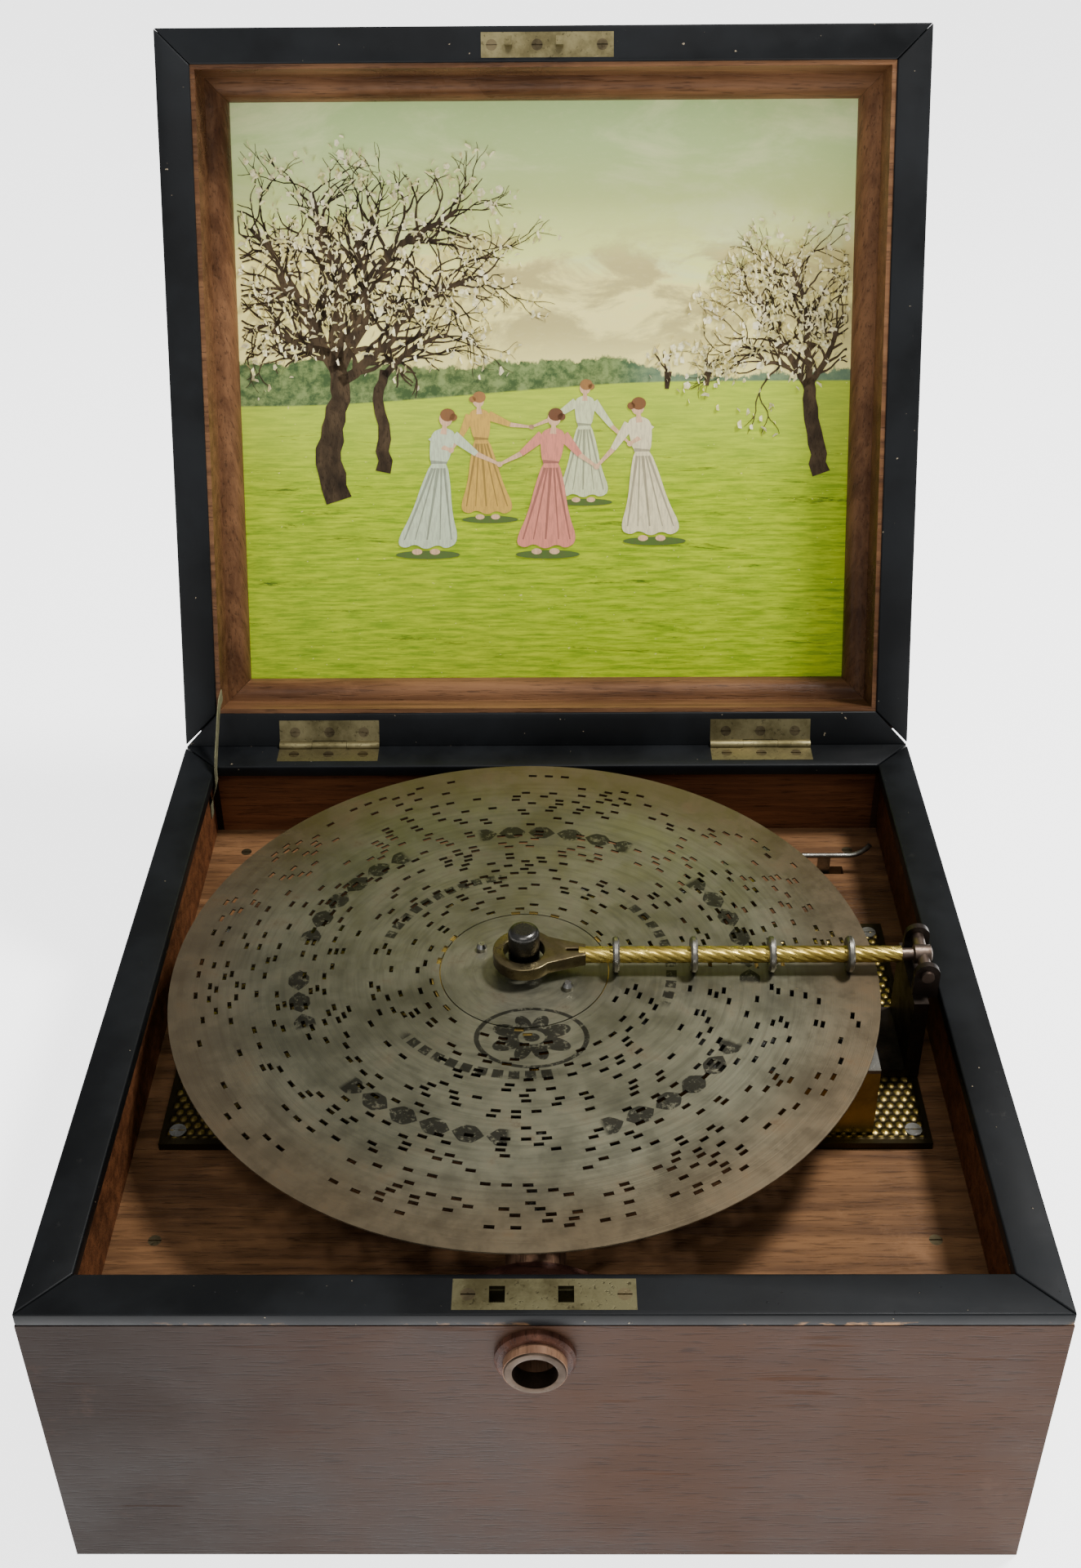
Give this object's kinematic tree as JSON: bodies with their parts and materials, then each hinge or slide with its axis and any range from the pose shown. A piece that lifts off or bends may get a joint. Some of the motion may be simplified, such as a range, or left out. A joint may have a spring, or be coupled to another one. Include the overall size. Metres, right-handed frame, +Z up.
{
  "type": "disc music box",
  "caption": "Wind-up disc music box with its lid standing open: wooden case, spring motor, comb, steel disc, hinged pressure bar with rollers, picture in the lid.",
  "frame": {"origin": "middle of the case's underside", "axes": "+X to the right seen from the front, +Y to the back, +Z up"},
  "size_m": [0.42, 0.6038, 0.5323],
  "materials": {
    "case_wood": "worn French polish",
    "plain_wood": "unfinished",
    "deck_wood": "stained, dusty",
    "ebonised": "ebonised, worn gloss",
    "dull_brass": "tarnished",
    "dark_wood": "stained",
    "bright_steel": "worn",
    "gilt_iron": "bronze-painted, dimpled",
    "dark_steel": "blackened",
    "brass": "aged",
    "disc_steel": "dull, oxidised",
    "lid_wood": "polished",
    "picture": "varnished print",
    "ribbon": "faded woven"
  },
  "bodies": {
    "case": {"case_front": "case_wood", "case_back": "case_wood", "case_sides": "case_wood", "case_bottom": "plain_wood", "case_rim": "ebonised", "deck_cleats": "plain_wood", "motor_deck": "deck_wood", "case_screws": "dull_brass", "lock_plate": "dull_brass", "lock_box": "dull_brass", "winding_bush": "dark_wood", "winding_tube": "bright_steel", "winder_block": "dark_wood", "bedplate": "gilt_iron", "shaft_bearing": "brass", "bed_screws": "bright_steel", "centre_post": "dark_steel", "star_gantry": "dark_steel", "star_axle": "bright_steel", "comb": "bright_steel", "comb_base": "gilt_iron", "damper_rail": "brass", "bar_bracket": "dark_steel", "train_bridge": "brass", "governor_cock": "brass", "start_guide": "bright_steel", "case_hinge_leaves": "dull_brass", "hinge_pins": "dull_brass", "stay_ribbon": "ribbon"},
    "disc_drive": {"music_disc": "disc_steel", "spring_barrel": "brass", "barrel_cover": "brass", "drive_pins": "bright_steel", "mainspring": "bright_steel"},
    "arbor": {"winding_arbor": "bright_steel", "winding_wheel": "brass"},
    "click": {"click": "bright_steel"},
    "winder": {"winding_shaft": "bright_steel"},
    "second": {"second_wheel": "brass", "second_arbor": "bright_steel"},
    "third": {"third_wheel": "brass", "third_arbor": "bright_steel"},
    "governor": {"governor_worm": "bright_steel", "governor_fan": "brass"},
    "stars": {"star_wheels": "bright_steel"},
    "bar": {"pressure_bar": "brass", "bar_axle": "bright_steel"},
    "roller_a": {"roller_1": "bright_steel"},
    "roller_b": {"roller_2": "bright_steel"},
    "roller_c": {"roller_3": "bright_steel"},
    "roller_d": {"roller_4": "bright_steel"},
    "starter": {"start_lever": "bright_steel"},
    "lid": {"lid_frame": "ebonised", "lid_panel": "case_wood", "lid_liner": "lid_wood", "lid_moulding": "lid_wood", "lid_picture": "picture", "lid_hinge_leaves": "dull_brass", "lid_strike": "dull_brass", "lid_screws": "dull_brass"}
  },
  "joints": [
    {"name": "disc_spin", "type": "hinge", "parent": "case", "child": "disc_drive", "pos_m": [-0.0098, -0.004, 0.17], "axis": [0, 0, 1], "continuous": true},
    {"name": "arbor_spin", "type": "hinge", "parent": "case", "child": "arbor", "pos_m": [-0.0098, -0.004, 0.14], "axis": [0, 0, 1], "continuous": true},
    {"name": "winder_spin", "type": "hinge", "parent": "case", "child": "winder", "pos_m": [-0.0033, -0.1, 0.1415], "axis": [0, 1, 0], "continuous": true},
    {"name": "click_lift", "type": "hinge", "parent": "case", "child": "click", "pos_m": [0.0097, 0.008, 0.1265], "axis": [0, 0, 1], "range_deg": [-10, 0]},
    {"name": "second_spin", "type": "hinge", "parent": "case", "child": "second", "pos_m": [-0.0098, 0.05015, 0.14], "axis": [0, 0, 1], "continuous": true},
    {"name": "third_spin", "type": "hinge", "parent": "case", "child": "third", "pos_m": [0.02558, 0.06303, 0.14], "axis": [0, 0, 1], "continuous": true},
    {"name": "governor_spin", "type": "hinge", "parent": "case", "child": "governor", "pos_m": [0.05, 0.08303, 0.151], "axis": [1, 0, 0], "continuous": true},
    {"name": "stars_spin", "type": "hinge", "parent": "case", "child": "stars", "pos_m": [0.098, -0.004, 0.1668], "axis": [1, 0, 0], "continuous": true},
    {"name": "bar_lift", "type": "hinge", "parent": "case", "child": "bar", "pos_m": [0.181, -0.004, 0.1839], "axis": [0, -1, 0], "range_deg": [-75, 0]},
    {"name": "roller_a_spin", "type": "hinge", "parent": "bar", "child": "roller_a", "pos_m": [0.0343, -0.004, 0.1839], "axis": [1, 0, 0], "continuous": true},
    {"name": "roller_b_spin", "type": "hinge", "parent": "bar", "child": "roller_b", "pos_m": [0.0716, -0.004, 0.1839], "axis": [1, 0, 0], "continuous": true},
    {"name": "roller_c_spin", "type": "hinge", "parent": "bar", "child": "roller_c", "pos_m": [0.109, -0.004, 0.1839], "axis": [1, 0, 0], "continuous": true},
    {"name": "roller_d_spin", "type": "hinge", "parent": "bar", "child": "roller_d", "pos_m": [0.1464, -0.004, 0.1839], "axis": [1, 0, 0], "continuous": true},
    {"name": "start_slide", "type": "slide", "parent": "case", "child": "starter", "axis": [1, 0, 0], "range_m": [-0.007, 0]},
    {"name": "lid_hinge", "type": "hinge", "parent": "case", "child": "lid", "pos_m": [0, 0.1981, 0.16715], "axis": [1, 0, 0], "range_deg": [0, 112.6], "deforming": ["stay_ribbon"]}
  ],
  "couplings": [
    {"joint": "second_spin", "follows": "disc_spin", "ratio": -8},
    {"joint": "third_spin", "follows": "disc_spin", "ratio": 32},
    {"joint": "governor_spin", "follows": "disc_spin", "ratio": 480},
    {"joint": "winder_spin", "follows": "arbor_spin", "ratio": -3.3846},
    {"joint": "roller_a_spin", "follows": "disc_spin", "ratio": 5.069},
    {"joint": "roller_b_spin", "follows": "disc_spin", "ratio": 9.3563},
    {"joint": "roller_c_spin", "follows": "disc_spin", "ratio": 13.655},
    {"joint": "roller_d_spin", "follows": "disc_spin", "ratio": 17.954}
  ]
}
